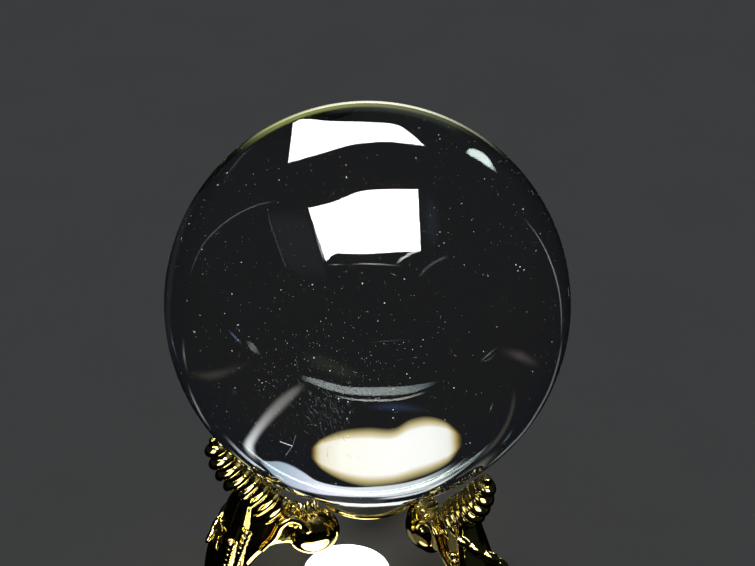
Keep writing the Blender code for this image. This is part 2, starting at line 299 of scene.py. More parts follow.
def polar(centre, radius, angle):
    return (centre[0] + radius * math.cos(angle), centre[1] + radius * math.sin(angle))


def settled_mesh(carrier):
    """The mesh that an object's curve or modifiers give; the object itself goes."""
    mesh = bpy.data.meshes.new_from_object(carrier.evaluated_get(bpy.context.evaluated_depsgraph_get()))
    bpy.data.objects.remove(carrier, do_unlink=True)
    return mesh


def poly_curve(name, rows):
    """A curve through rows of (x, y, z, radius), straight from each to the next."""
    curve = bpy.data.curves.new(name, "CURVE")
    spline = curve.splines.new("POLY")
    spline.points.add(len(rows) - 1)
    for point, (x, y, z, radius) in zip(spline.points, rows):
        point.co = (x, y, z, 1.0)
        point.radius = radius
    return curve


def tube_mesh(name, rows, resolution=4, width=1.0):
    """A round strand through rows of (u, v, z, radius); width scales it through the leg's thickness."""
    curve = poly_curve(name, rows)
    curve.dimensions = "3D"
    curve.bevel_depth = 1.0
    curve.bevel_resolution = resolution
    curve.use_fill_caps = True
    mesh = settled_mesh(new_object(name, curve))
    bpy.data.curves.remove(curve)
    mesh.transform(Matrix.Diagonal((1.0, width, 1.0, 1.0)))
    return mesh


def plate_mesh(name, outline, half_thickness):
    """A flat plate in the leg's plane with a closed outline of (u, z) points."""
    curve = poly_curve(name, [(u, z, 0.0, 1.0) for u, z in outline])
    curve.dimensions = "2D"
    curve.fill_mode = "BOTH"
    curve.extrude = half_thickness
    curve.splines[0].use_cyclic_u = True
    mesh = settled_mesh(new_object(name, curve))
    bpy.data.curves.remove(curve)
    mesh.transform(STAND_UP)
    return mesh


def finished_mesh(name, shell):
    """A mesh made of a shape whose working is done."""
    mesh = bpy.data.meshes.new(name)
    shell.to_mesh(mesh)
    shell.free()
    return mesh


def ellipsoid_mesh(name, centre, half_sizes, tilt=0.0, segments=32, rings=20):
    """An ellipsoid at (u, v, z), tilted by an angle from +u towards +z."""
    shell = bmesh.new()
    bmesh.ops.create_uvsphere(shell, u_segments=segments, v_segments=rings, radius=1.0)
    placing = Matrix.Translation(centre) @ Matrix.Rotation(-tilt, 4, "Y")
    placing = placing @ Matrix.Diagonal((*half_sizes, 1.0))
    bmesh.ops.transform(shell, matrix=placing, verts=shell.verts)
    return finished_mesh(name, shell)


def disc_mesh(name, centre, radius, half_height):
    """A short upright cylinder."""
    shell = bmesh.new()
    bmesh.ops.create_cone(
        shell,
        cap_ends=True,
        segments=64,
        radius1=radius,
        radius2=radius,
        depth=2 * half_height,
        matrix=Matrix.Translation(centre),
    )
    return finished_mesh(name, shell)


def joined_mesh(name, meshes):
    gathered = bmesh.new()
    for mesh in meshes:
        gathered.from_mesh(mesh)
        bpy.data.meshes.remove(mesh)
    return finished_mesh(name, gathered)


# The leg, in millimetres

LEG_NAMES = ("leg_left", "leg_right", "leg_back")
LEG_TURN = math.radians(6)
LEG_STEP = math.radians(120)
LEG_SIDE_OFFSET = 3.75
CONTACT_GAP = 0.3

VOLUTE_CENTRE = (-7.5, 9.8)
VOLUTE_RADIUS = 3.5
VOLUTE_HALF_THICKNESS = 2.4
VOLUTE_RIM_WIRE = 0.42
VOLUTE_RIM_WIDTH = 1.8
VOLUTE_RIM_START = math.radians(160)
VOLUTE_RIM_SWEEP = math.radians(350)
VOLUTE_RIM_STEPS = 96
TOP_BEAD_COUNT = 5
TOP_BEAD_ANGLES = (math.radians(141), math.radians(83))
TOP_BEAD_HALF_SIZES = (0.5, 1.6, 0.5)
TOP_BEAD_LIFT = 0.05

WEB_HALF_THICKNESS = 1.1
ARM_WIDTH = 0.8
RIB_COUNT = 9
RIB_HALF_WIDTHS = (0.95, 0.62)
RIB_RELIEFS = (0.5, 0.4)
RIB_OVERHANGS = (0.1, 0.95)
RIB_SHARES = (0.10, 0.93)
LOWER_LEG_WIDTH = 1.2
STRAND_WIDTH = 1.1
BEAD_PITCH = 0.85
BEAD_RADIUS = 0.55

LEAF_CENTRES = [
    Vector((-17.6, 1.7, 14.5)), Vector((-18.8, 0.5, 13.5)), Vector((-19.9, -0.8, 12.5)),
    Vector((-20.6, -1.8, 11.5)),
]
LEAF_STEM = [
    (-17.4, 1.3, 14.2, 0.4), (-18.6, 0.1, 12.9, 0.55), (-19.6, -1.0, 11.7, 0.65), (-20.2, -1.7, 10.3, 0.7),
    (-20.0, -1.5, 8.7, 0.6), (-19.2, -0.7, 7.2, 0.45),
]
LEAF_BODY_CENTRE = (-18.8, -0.7, 10.8)
LEAF_BODY_HALF_SIZES = (1.3, 0.7, 2.9)
LEAF_BODY_TILT = math.radians(-12)
LEAF_FACING = Vector((-0.73, 0.29, 0.62))
LEAF_HALF_SIZES = (1.25, 0.62, 0.4)

FOOT_CENTRE_U = -20.2
FOOT_PAD_RADIUS = 2.7
FOOT_PAD_HEIGHT = 1.0
TOE_HALF_SIZES = (2.9, 2.8, 2.3)

RING_RADIUS = 6.3
RING_WIRE_RADIUS = 0.32
RING_HEIGHT = 13.3
RING_CLEARANCE = 0.05

CAST_VOXEL = 0.11
CREASE_ANGLE = math.radians(60)
# The mask of the painted shade in the hollows, its smoothing rounds and the depth at which the shade is full
HOLLOW_SHADE_ATTRIBUTE = "hollow_shade"
HOLLOW_ROUNDS = 40
HOLLOW_FULL_DEPTH = 0.35


def arm_path(steps):
    stations = [
        (-19.75, 25.30, 0.60), (-19.05, 23.20, 1.15), (-17.70, 20.90, 1.50), (-15.90, 18.60, 1.65),
        (-14.00, 16.50, 1.60), (-12.20, 14.40, 1.40), (-10.80, 12.90, 1.10), (-9.70, 11.90, 0.90),
    ]
    return smooth_path(stations, steps)


def arm_meshes():
    """The arm that cradles the sphere, with rounded ribs across it."""
    path = arm_path(8)
    made = [tube_mesh("arm", [(u, 0.0, z, radius) for u, z, radius in path], width=ARM_WIDTH)]
    spans = [math.dist(a[:2], b[:2]) for a, b in zip(path, path[1:])]
    for k in range(RIB_COUNT):
        share = k / (RIB_COUNT - 1)
        along = sum(spans) * between(RIB_SHARES, share)
        row = 0
        while along > spans[row]:
            along -= spans[row]
            row += 1
        u, z, radius = (between(pair, along / spans[row]) for pair in zip(path[row], path[row + 1]))
        heading = Vector(path[row + 1][:2]) - Vector(path[row][:2])
        tilt = math.atan2(heading[1], heading[0])
        relief = between(RIB_RELIEFS, share)
        overhang = between(RIB_OVERHANGS, share)
        made.append(
            ellipsoid_mesh(
                f"rib {k}",
                (u + math.sin(tilt) * overhang, 0.0, z - math.cos(tilt) * overhang),
                (between(RIB_HALF_WIDTHS, share), radius * ARM_WIDTH + relief, radius + relief + overhang),
                tilt=tilt,
            )
        )
    return made


def lower_leg_meshes():
    """The leg from the back of the arm to the toe, its inner strand and the thin web between them."""
    leg = [
        (-16.0, 17.3, 1.2), (-16.7, 14.5, 1.6), (-17.6, 11.6, 2.0), (-18.5, 8.5, 2.4), (-19.1, 5.4, 2.4),
        (-19.9, 2.4, 1.9),
    ]
    strand = [
        (-9.4, 8.4, 0.75), (-11.6, 9.4, 1.0), (-13.6, 8.8, 1.15), (-15.7, 7.0, 1.25), (-17.6, 4.0, 1.2),
        (-18.6, 2.2, 1.0),
    ]
    web = [
        (-19.0, 23.2), (-15.9, 18.6), (-12.2, 14.4), (-10.0, 11.9), (-10.0, 8.8), (-13.6, 8.8),
        (-15.7, 7.0), (-17.8, 3.6), (-19.9, 2.4), (-19.1, 5.4), (-18.5, 8.5), (-17.6, 11.6), (-16.7, 14.5),
        (-17.3, 18.0),
    ]
    return [
        tube_mesh("lower leg", [(u, 0.0, z, r) for u, z, r in smooth_path(leg, 6)], width=LOWER_LEG_WIDTH),
        tube_mesh("strand", [(u, 0.0, z, r) for u, z, r in smooth_path(strand, 6)], width=STRAND_WIDTH),
        plate_mesh("web", web, WEB_HALF_THICKNESS),
    ]


def volute_meshes():
    """The bulging button, its rim, the curled ridge on each face and the beads over its top."""
    u, z = VOLUTE_CENTRE
    inner = VOLUTE_RADIUS - VOLUTE_RIM_WIRE
    half_sizes = (inner, VOLUTE_HALF_THICKNESS, inner)
    made = [ellipsoid_mesh("button", (u, 0.0, z), half_sizes, segments=64, rings=32)]
    rim_rows = []
    for k in range(VOLUTE_RIM_STEPS + 1):
        angle = VOLUTE_RIM_START - VOLUTE_RIM_SWEEP * k / VOLUTE_RIM_STEPS
        rim_u, rim_z = polar(VOLUTE_CENTRE, inner, angle)
        rim_rows.append((rim_u, 0.0, rim_z, VOLUTE_RIM_WIRE))
    made.append(tube_mesh("rim", rim_rows, width=VOLUTE_RIM_WIDTH))
    ridge = [
        (-14.2, 1.2, 8.1, 0.40), (-13.4, 1.3, 9.1, 0.45), (-12.5, 1.4, 10.2, 0.50),
        (-11.7, 1.5, 12.0, 0.50), (-10.4, 1.6, 13.0, 0.50), (-9.0, 1.8, 12.5, 0.45),
        (-8.1, 2.0, 11.2, 0.40),
    ]
    for side in (-1, 1):
        rows = [(ru, side * rv, rz, radius) for ru, rv, rz, radius in smooth_path(ridge, 8)]
        made.append(tube_mesh("ridge", rows))
    for k in range(TOP_BEAD_COUNT):
        angle = between(TOP_BEAD_ANGLES, k / (TOP_BEAD_COUNT - 1))
        bead_u, bead_z = polar(VOLUTE_CENTRE, VOLUTE_RADIUS + TOP_BEAD_LIFT, angle)
        made.append(ellipsoid_mesh("top bead", (bead_u, 0.0, bead_z), TOP_BEAD_HALF_SIZES))
    return made


def strand_bead_meshes():
    """Two rows of beads on each flank of the lower leg."""
    courses = [
        ((-15.9, 11.7), (-18.6, 4.0), 2.2),
        ((-18.0, 10.5), (-19.7, 4.0), 2.75),
    ]
    made = []
    for start, end, depth in courses:
        start = Vector(start)
        end = Vector(end)
        beads = round((end - start).length / BEAD_PITCH)
        for k in range(beads + 1):
            u, z = start.lerp(end, k / beads)
            for side in (-1, 1):
                centre = (u, side * depth, z)
                made.append(ellipsoid_mesh("bead", centre, (BEAD_RADIUS,) * 3, segments=16, rings=10))
    return made


def leaf_meshes():
    """A curled leaf on the outer face of the lower leg, with an upper edge of flat lobes."""
    made = [
        tube_mesh("leaf stem", smooth_path(LEAF_STEM, 10)),
        ellipsoid_mesh("leaf body", LEAF_BODY_CENTRE, LEAF_BODY_HALF_SIZES, tilt=LEAF_BODY_TILT),
    ]
    length = (LEAF_CENTRES[-1] - LEAF_CENTRES[0]).normalized()
    across = LEAF_FACING.cross(length).normalized()
    turn = Matrix((length, across, length.cross(across))).transposed().to_4x4()
    for centre in LEAF_CENTRES:
        mesh = ellipsoid_mesh("leaf lobe", (0.0, 0.0, 0.0), LEAF_HALF_SIZES)
        mesh.transform(Matrix.Translation(centre) @ turn)
        made.append(mesh)
    return made


def foot_meshes():
    return [
        ellipsoid_mesh("toe", (FOOT_CENTRE_U, 0.0, TOE_HALF_SIZES[2]), TOE_HALF_SIZES),
        disc_mesh("pad", (FOOT_CENTRE_U, 0.0, 0.0), FOOT_PAD_RADIUS, FOOT_PAD_HEIGHT),
    ]


def cast_skin(name, meshes):
    """One closed skin round the overlapping shapes, softened as a casting is."""
    carrier = new_object(name, joined_mesh(name, meshes))
    skin = carrier.modifiers.new("skin", "REMESH")
    skin.mode = "VOXEL"
    skin.voxel_size = CAST_VOXEL
    soften = carrier.modifiers.new("soften", "SMOOTH")
    soften.factor = 0.5
    soften.iterations = 3
    rough = carrier.data
    mesh = settled_mesh(carrier)
    bpy.data.meshes.remove(rough)
    return mesh


def read_rows(items, key, width, kind=float):
    """What each item of a mesh holds under a key, as rows of numbers."""
    rows = np.zeros(len(items) * width, kind)
    items.foreach_get(key, rows)
    return rows.reshape(-1, width)


def mark_hollow_shade(mesh):
    """Stores, for each vertex, how far it lies below the smoothed surface, from 0 to 1, as the mask of the
    painted shade in the hollows.
    """
    places = read_rows(mesh.vertices, "co", 3)
    normals = read_rows(mesh.vertices, "normal", 3)
    edges = read_rows(mesh.edges, "vertices", 2, int)
    degree = np.bincount(edges.ravel(), minlength=len(places))[:, None]
    smooth = places.copy()
    for _ in range(HOLLOW_ROUNDS):
        total = np.zeros_like(smooth)
        np.add.at(total, edges[:, 0], smooth[edges[:, 1]])
        np.add.at(total, edges[:, 1], smooth[edges[:, 0]])
        smooth = total / degree
    depth = np.einsum("ij,ij->i", smooth - places, normals)
    attribute = mesh.attributes.new(HOLLOW_SHADE_ATTRIBUTE, "FLOAT", "POINT")
    attribute.data.foreach_set("value", np.clip(depth / HOLLOW_FULL_DEPTH, 0.0, 1.0))


def leg_mesh():
    """One leg in its own plane, in metres, level underneath and clear of the ball and the ring."""
    mesh = cast_skin(
        "leg",
        arm_meshes()
        + lower_leg_meshes()
        + volute_meshes()
        + strand_bead_meshes()
        + leaf_meshes()
        + foot_meshes(),
    )
    shell = bmesh.new()
    shell.from_mesh(mesh)
    cut = bmesh.ops.bisect_plane(
        shell,
        geom=shell.verts[:] + shell.edges[:] + shell.faces[:],
        plane_co=(0.0, 0.0, 0.0),
        plane_no=UP,
        clear_inner=True,
    )
    rim = [item for item in cut["geom_cut"] if isinstance(item, bmesh.types.BMEdge)]
    bmesh.ops.holes_fill(shell, edges=rim, sides=0)
    ball = Vector((0.0, LEG_SIDE_OFFSET, BALL_CENTRE.z / MM))
    ball_reach = BALL_RADIUS / MM + CONTACT_GAP
    groove = RING_WIRE_RADIUS + RING_CLEARANCE
    for vertex in shell.verts:
        away = vertex.co - ball
        if away.length < ball_reach:
            vertex.co = ball + away.normalized() * ball_reach
        flat = Vector((vertex.co.x, vertex.co.y - LEG_SIDE_OFFSET, 0.0))
        wire = flat.normalized() * RING_RADIUS + Vector((0.0, LEG_SIDE_OFFSET, RING_HEIGHT))
        away = vertex.co - wire
        if away.length < groove:
            vertex.co = wire + away.normalized() * groove
    shell.to_mesh(mesh)
    shell.free()
    # Painted shade in the hollows
    mark_hollow_shade(mesh)
    mesh.transform(Matrix.Scale(MM, 4))
    mesh.shade_smooth()
    mesh.set_sharp_from_angle(angle=CREASE_ANGLE)
    return mesh


def add_legs(gilt):
    mesh = leg_mesh()
    mesh.materials.append(gilt)
    legs = []
    for k, node in enumerate(LEG_NAMES):
        turn = Matrix.Rotation(LEG_TURN + k * LEG_STEP, 4, "Z")
        leg = new_object(f"gilt_{node}", mesh.copy())
        leg.data.transform(turn @ Matrix.Translation((0.0, -LEG_SIDE_OFFSET * MM, 0.0)))
        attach(leg, "root")
        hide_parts(node)
        legs.append(leg)
    bpy.data.meshes.remove(mesh)
    return legs


def add_ring(gilt):
    bpy.ops.mesh.primitive_torus_add(
        major_segments=160,
        minor_segments=24,
        major_radius=RING_RADIUS * MM,
        minor_radius=RING_WIRE_RADIUS * MM,
    )
    ring = bpy.context.object
    ring.name = "gilt_ring"
    ring.data.transform(Matrix.Translation((0.0, 0.0, RING_HEIGHT * MM)))
    ring.data.shade_smooth()
    ring.data.materials.append(gilt)
    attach(ring, "root")
    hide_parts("ring")
    return ring


# The ball and what lies on it


def add_ball():
    bpy.ops.mesh.primitive_ico_sphere_add(subdivisions=7, radius=BALL_RADIUS)
    ball = bpy.context.object
    ball.name = "quartz_ball"
    ball.data.transform(Matrix.Translation(BALL_CENTRE))
    ball.data.shade_smooth()
    ball.data.materials.append(quartz_material())
    ball.visible_shadow = False
    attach(ball, "root")
    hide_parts("sphere")
    return ball


# The fine dust: how many grains are strewn over the ball and how many more lie in the patch. Sizes are the
# least radius in millimetres, what it can grow by and the power that keeps most grains small.
STREWN_SPECKS = 4200
STREWN_SIZES = (0.011, 0.024, 4)
PATCH_SPECKS = 800
PATCH_SIZES = (0.012, 0.03, 3)
PATCH_PIXEL = (322, 405)
PATCH_REACH = 6.5
SPECK_LENGTHS = (0.7, 1.6)
SPECK_WIDTHS = (0.7, 1.2)
SPECK_FLATNESS = 0.5
EXTREME_COSINE = 0.996

# The strokes of the lint: the pixels at their ends and their radius in millimetres
LINT_STROKES = [
    ([(280, 441.5), (292.5, 446)], 0.03),
    ([(292.5, 446), (286, 455)], 0.035),
    ([(293, 445), (295.5, 436)], 0.02),
]
LINT_RISE = 0.02

# The scratches: the middle and the spread of their places and half lengths in pixels, of their slant in
# degrees, and of their radius in millimetres
SCRATCH_COUNT = 170
SCRATCH_X = (326, 15)
SCRATCH_Y = (412, 16)
SCRATCH_SLANT = (66, 13)
SCRATCH_HALF_LENGTHS = (1.0, 3.2)
SCRATCH_RADII = (0.006, 0.016)

# The larger grains: the pixel that shows each and its radius in millimetres
BRIGHT_SPECKS = [
    (189, 224, 0.075), (187, 301, 0.07), (227, 173, 0.08), (218, 185, 0.07), (232, 351, 0.08),
    (552, 342, 0.075), (454, 388, 0.095), (348, 402, 0.08), (393, 410, 0.075), (393, 418, 0.07),
    (470, 443, 0.10), (466, 444, 0.06), (407, 374, 0.075), (410, 378, 0.065), (281, 290, 0.06),
    (232, 294, 0.07), (259, 380, 0.07), (262, 383, 0.06), (235, 388, 0.06), (440, 139, 0.065),
    (419, 128, 0.06), (416, 158, 0.065), (439, 246, 0.06), (444, 243, 0.065), (440, 232, 0.06),
    (523, 209, 0.07), (536, 251, 0.06), (516, 265, 0.09), (520, 267, 0.12), (524, 270, 0.08),
    (518, 271, 0.07), (488, 276, 0.07), (345, 146, 0.055), (346, 165, 0.055), (279, 180, 0.06),
    (445, 420, 0.065), (423, 340, 0.05), (447, 440, 0.065), (350, 413, 0.06), (295, 365, 0.065),
    (314, 358, 0.07), (330, 371, 0.065), (322, 463, 0.055), (300, 399, 0.05), (497, 327, 0.06),
]


def clear_of_extremes(direction):
    """Whether a direction is away from the ball's topmost, sideways and lowest points."""
    return max(abs(part) for part in direction) < EXTREME_COSINE


def drawn_radius(rng, sizes):
    least, more, power = sizes
    return least + more * rng.random() ** power


def drawn_vector(rng):
    return Vector((rng.gauss(0, 1), rng.gauss(0, 1), rng.gauss(0, 1)))


def add_specks():
    """Tiny rounded grains of dust strewn over the whole ball, denser in one patch low on the near side."""
    rng = random.Random(41)
    shell = bmesh.new()
    patch = on_ball(*PATCH_PIXEL) - BALL_CENTRE
    places = [((on_ball(x, y) - BALL_CENTRE).normalized(), size) for x, y, size in BRIGHT_SPECKS]
    while len(places) < STREWN_SPECKS:
        direction = drawn_vector(rng).normalized()
        if clear_of_extremes(direction):
            places.append((direction, drawn_radius(rng, STREWN_SIZES)))
    while len(places) < STREWN_SPECKS + PATCH_SPECKS:
        direction = (patch + drawn_vector(rng) * PATCH_REACH * MM).normalized()
        if clear_of_extremes(direction):
            places.append((direction, drawn_radius(rng, PATCH_SIZES)))
    bmesh.ops.create_icosphere(shell, subdivisions=1, radius=1.0)
    corners = [vertex.co.copy() for vertex in shell.verts]
    sides = [[vertex.index for vertex in face.verts] for face in shell.faces]
    shell.free()
    points = []
    faces = []
    for direction, size in places:
        length = size * rng.uniform(*SPECK_LENGTHS)
        half_sizes = (length, size * rng.uniform(*SPECK_WIDTHS), size * SPECK_FLATNESS)
        placing = (
            Matrix.Translation(BALL_CENTRE + direction * BALL_RADIUS)
            @ direction.to_track_quat("Z", "Y").to_matrix().to_4x4()
            @ Matrix.Rotation(rng.uniform(0, math.tau), 4, "Z")
            @ Matrix.Diagonal((*(half * MM for half in half_sizes), 1.0))
        )
        faces.extend([corner + len(points) for corner in side] for side in sides)
        points.extend(placing @ corner for corner in corners)
    mesh = bpy.data.meshes.new("dust_specks")
    mesh.from_pydata(points, [], faces)
    mesh.shade_smooth()
    return new_object("dust_specks", mesh)


def surface_tube(pixels, radius, rise):
    """A fine fibre that lies on the ball through the points that pixels show."""
    centre = BALL_CENTRE / MM
    rows = []
    for x, y in pixels:
        out = (on_ball(x, y) - BALL_CENTRE).normalized()
        place = centre + out * (BALL_RADIUS / MM + rise)
        rows.append((*place, radius))
    return tube_mesh("fibre", smooth_path(rows, 4), resolution=2)


def add_lint():
    """A bent scrap of lint low on the near side."""
    strokes = [surface_tube(pixels, radius, LINT_RISE) for pixels, radius in LINT_STROKES]
    mesh = joined_mesh("lint_scrap", strokes)
    mesh.transform(Matrix.Scale(MM, 4))
    mesh.shade_smooth()
    return new_object("lint_scrap", mesh)


def add_scratches():
    """Fine short scratches, most of them steep, low on the near side."""
    rng = random.Random(7)
    meshes = []
    for _ in range(SCRATCH_COUNT):
        x = rng.gauss(*SCRATCH_X)
        y = rng.gauss(*SCRATCH_Y)
        angle = math.radians(rng.gauss(*SCRATCH_SLANT))
        half = rng.uniform(*SCRATCH_HALF_LENGTHS)
        dx = half * math.cos(angle)
        dy = half * math.sin(angle)
        radius = rng.uniform(*SCRATCH_RADII)
        meshes.append(surface_tube([(x - dx, y - dy), (x, y), (x + dx, y + dy)], radius, 0.0))
    mesh = joined_mesh("fine_scratches", meshes)
    mesh.transform(Matrix.Scale(MM, 4))
    mesh.shade_smooth()
    return new_object("fine_scratches", mesh)


def dress_ball():
    dust = matt_material("dust", (0.62, 0.64, 0.68), (0.86, 0.86, 0.82))
    haze = matt_material("scratch haze", (0.04, 0.045, 0.05), (0.17, 0.18, 0.18))
    pieces = [(add_specks(), dust), (add_lint(), dust), (add_scratches(), haze)]
    for piece, material in pieces:
        piece.data.materials.append(material)
        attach(piece, "root")
    return [piece for piece, material in pieces]


# The stage


def floor_material():
    """Pale matt table top, with painted dark reflections: near black where it is mirrored, and darker where
    the ball shows it through.
    """
    material, nodes, links, shader = new_material("pale floor")
    mottle = add_noise(nodes, links, 60.0)
    tones = [(FLOOR_ALBEDO + change,) * 3 for change in (-FLOOR_MOTTLE, FLOOR_MOTTLE)]
    tone = add_mix(nodes, links, mottle, *tones)
    path = nodes.new("ShaderNodeLightPath")
    # Painted dark reflection of the floor, and a painted darker floor seen through the ball
    tone = add_mix(nodes, links, path.outputs["Is Glossy Ray"], tone, (FLOOR_PAINTED_MIRRORED_ALBEDO,) * 3)
    tone = add_mix(nodes, links, path.outputs["Is Transmission Ray"], tone, (FLOOR_PAINTED_SEEN_THROUGH_ALBEDO,) * 3)
    links.new(tone, shader.inputs["Base Color"])
    shader.inputs["Roughness"].default_value = 0.9
    shader.inputs["Specular IOR Level"].default_value = 0.0
    return material


def add_floor():
    bpy.ops.mesh.primitive_plane_add(size=FLOOR_SIZE, location=(0.0, 0.0, -FLOOR_DROP))
    floor = bpy.context.object
    floor.name = "floor"
    floor.data.materials.append(floor_material())
    return floor


def receivers(name, objects):
    group = bpy.data.collections.new(name)
    for item in objects:
        group.objects.link(item)
    return group


def add_light(name, kind, strength, group):
    """A light that lights one group of objects."""
    data = bpy.data.lights.new(name, kind)
    data.energy = strength
    light = new_object(name, data)
    light.light_linking.receiver_collection = group
    return light


def add_wide_light(name, heading, angle, strength, group):
    """A broad, even light from far away."""
    light = add_light(name, "SUN", strength, group)
    light.data.angle = math.radians(angle)
    light.rotation_euler = Vector(heading).to_track_quat("-Z", "Y").to_euler()


def add_pool_light(group):
    """The small bright pool of light on the table under the ball."""
    strength = 4 * math.pi**2 * POOL_LIGHT_HEIGHT**2 * POOL_RADIANCE / FLOOR_ALBEDO
    light = add_light("pool light", "SPOT", strength, group)
    light.data.spot_size = 2 * math.atan(POOL_RADIUS / POOL_LIGHT_HEIGHT)
    light.data.spot_blend = POOL_BLEND
    light.data.shadow_soft_size = 0.0
    light.location = (*POOL_CENTRE, POOL_LIGHT_HEIGHT)
    light.visible_camera = False


RIM_BAND_STEPS = 8


def rim_band(outer, inner, start, end):
    """The two edges of a band round the ball's rim, between two angles in degrees right of the top."""
    steps = range(RIM_BAND_STEPS + 1)
    angles = [math.radians(between((start, end), k / RIM_BAND_STEPS)) for k in steps]
    x, y = BALL_CENTRE_PIXEL
    return [
        [(x + radius * math.sin(angle), y - radius * math.cos(angle)) for angle in angles]
        for radius in (outer, inner)
    ]


def stroke(points, width):
    """The two edges of a band of even width along a line of pixels."""
    edges = ([], [])
    last = len(points) - 1
    for k, (x, y) in enumerate(points):
        before = points[max(k - 1, 0)]
        after = points[min(k + 1, last)]
        along = Vector((after[0] - before[0], after[1] - before[1])).normalized()
        for edge, side in zip(edges, (-0.5, 0.5)):
            edge.append((x - along.y * width * side, y + along.x * width * side))
    return edges


def line_card(points, width, tones, fade):
    """A card of even width along a line of pixels, faded alike in every colour."""
    return (*stroke(points, width), tones, fade, 0.0)


# Soft light cards. Each is a ribbon between two edges, given by the pixels where the ball shows them, with
# the tones that it shows along it, from 0 to 255, how much of it is faded at its edges, and how much sooner
# the fade takes blue than red.
WINDOW_CARDS = [
    (
        [(308, 208), (330, 203), (345, 197), (362, 191), (390, 189), (418, 189)],
        [(326, 262), (335, 254), (350, 254), (365, 254), (395, 252.5), (421, 251)],
        [(255, 255, 255)], 0.0, 0.0,
    ),
    (
        [(293, 123), (304, 119), (330, 121), (365, 122), (394, 124), (408, 131), (424, 145)],
        [(288, 163), (306, 158), (330, 151), (352, 145), (380, 142), (400, 143), (425, 146)],
        [(245, 252, 255)], 0.0, 0.0,
    ),
    (
        [(465, 152), (471, 148), (481, 151), (489, 158), (498, 173)],
        [(465, 153), (470, 156), (477, 160), (486, 166), (498, 174)],
        [(186, 206, 200), (206, 218, 214)], 0.35, 0.0,
    ),
    line_card([(396, 264), (403, 258), (413, 252.5), (421, 250)], 3, [(170, 175, 175)], 0.3),
    line_card([(350, 264.5), (370, 263.8), (404, 266)], 1.6, [(122, 127, 122)], 0.3),
    line_card([(328, 265), (336, 264.5), (344, 265)], 1.6, [(110, 115, 112)], 0.5),
]

FAINT_CARDS = [
    (
        [(269, 208), (270, 222), (276, 240), (284, 262), (294, 284)],
        [(306, 207), (312, 224), (318, 242), (325, 264), (330, 286)],
        [(11, 14, 16), (13, 16, 18), (9, 11, 12)], 0.12, 0.0,
    ),
    (
        [(419, 190), (420, 212), (421, 232), (423, 252)],
        [(440, 190), (442, 212), (444, 232), (442, 252)],
        [(14, 20, 27), (12, 16, 21)], 1.0, 0.0,
    ),
    line_card([(450, 256), (441, 259), (432, 264), (424, 271), (414, 284)], 4,
              [(48, 52, 53), (56, 60, 62), (36, 40, 42)], 0.8),
    line_card([(268, 208), (270, 222), (276, 240), (284, 262), (293, 280), (306, 285)], 2.5,
              [(38, 42, 45)], 0.8),
    line_card([(309, 209), (314, 222), (317, 236), (321, 250), (325, 262)], 3.5,
              [(150, 156, 158), (96, 102, 106), (150, 156, 158)], 0.5),
    line_card(
        [(280, 200.5), (265, 203), (250, 208), (232, 217.5), (215, 231), (203, 245), (195, 261),
         (188, 280)],
        2, [(36, 38, 38), (66, 68, 66), (66, 68, 66), (48, 50, 50), (38, 41, 42)], 0.8,
    ),
    line_card(
        [(520, 215), (532, 228), (543, 245), (551, 263), (557, 282), (560.5, 302), (561.5, 322),
         (561, 342)],
        2, [(36, 40, 42), (70, 75, 76), (104, 110, 110), (92, 98, 98), (70, 76, 78), (48, 52, 54)], 0.8,
    ),
    line_card([(225, 180), (232, 168), (243, 155), (256, 144)], 3,
              [(24, 28, 30), (36, 40, 42), (30, 33, 35)], 0.9),
    line_card([(176, 372), (169, 340), (168, 304), (173, 262), (186, 218), (206, 186)], 9,
              [(14, 15, 19), (18, 20, 24), (15, 17, 20)], 1.0),
    (
        [(245, 339.5), (254, 344), (261.5, 355)],
        [(245, 340), (251, 350), (261.5, 357)],
        [(80, 82, 80), (86, 86, 84)], 0.15, 0.0,
    ),
    line_card([(227, 329), (235, 337), (243, 346)], 3, [(48, 62, 78), (58, 76, 94), (44, 56, 68)], 0.8),
    line_card([(480, 362), (488, 355), (499, 346)], 2.2, [(86, 88, 86), (76, 77, 75), (58, 59, 58)], 0.6),
    line_card([(480, 362), (489, 359.5), (497, 352)], 1.6, [(70, 71, 69), (46, 47, 46)], 0.6),
    line_card([(496, 349), (520, 356), (541, 367)], 15, [(34, 33, 33), (52, 48, 46), (62, 55, 50)], 1.0),
    line_card([(186, 374), (215, 375), (254, 361)], 14, [(46, 44, 38), (36, 35, 31)], 1.0),
    line_card([(362, 407), (395, 407), (434, 411)], 12, [(20, 34, 58), (26, 36, 52)], 1.0),
    line_card([(296, 352), (320, 362), (344, 372), (368, 378)], 22,
              [(16, 19, 13), (22, 27, 18), (16, 19, 13)], 1.0),
    line_card([(365, 343), (388, 341), (412, 339)], 1.8, [(34, 37, 37), (44, 46, 44), (32, 34, 34)], 0.8),
    line_card([(514, 386), (513, 405), (506, 426), (492, 446), (471, 465)], 6,
              [(34, 31, 27), (58, 51, 44)], 0.9),
    line_card([(500, 446), (508, 437), (514, 427)], 2.2, [(84, 88, 88), (56, 60, 60)], 0.7),
    line_card([(489, 413), (491, 408), (493, 402)], 1.6, [(84, 88, 88)], 0.7),
]

TOP_RIM_TONES = [
    (30, 33, 26), (150, 156, 112), (214, 218, 192), (236, 238, 222), (214, 216, 196), (120, 122, 100),
    (30, 32, 26),
]
TOP_GLOW_TONES = [(30, 34, 20), (112, 120, 66), (120, 125, 76), (112, 115, 74), (72, 76, 52), (30, 34, 24)]

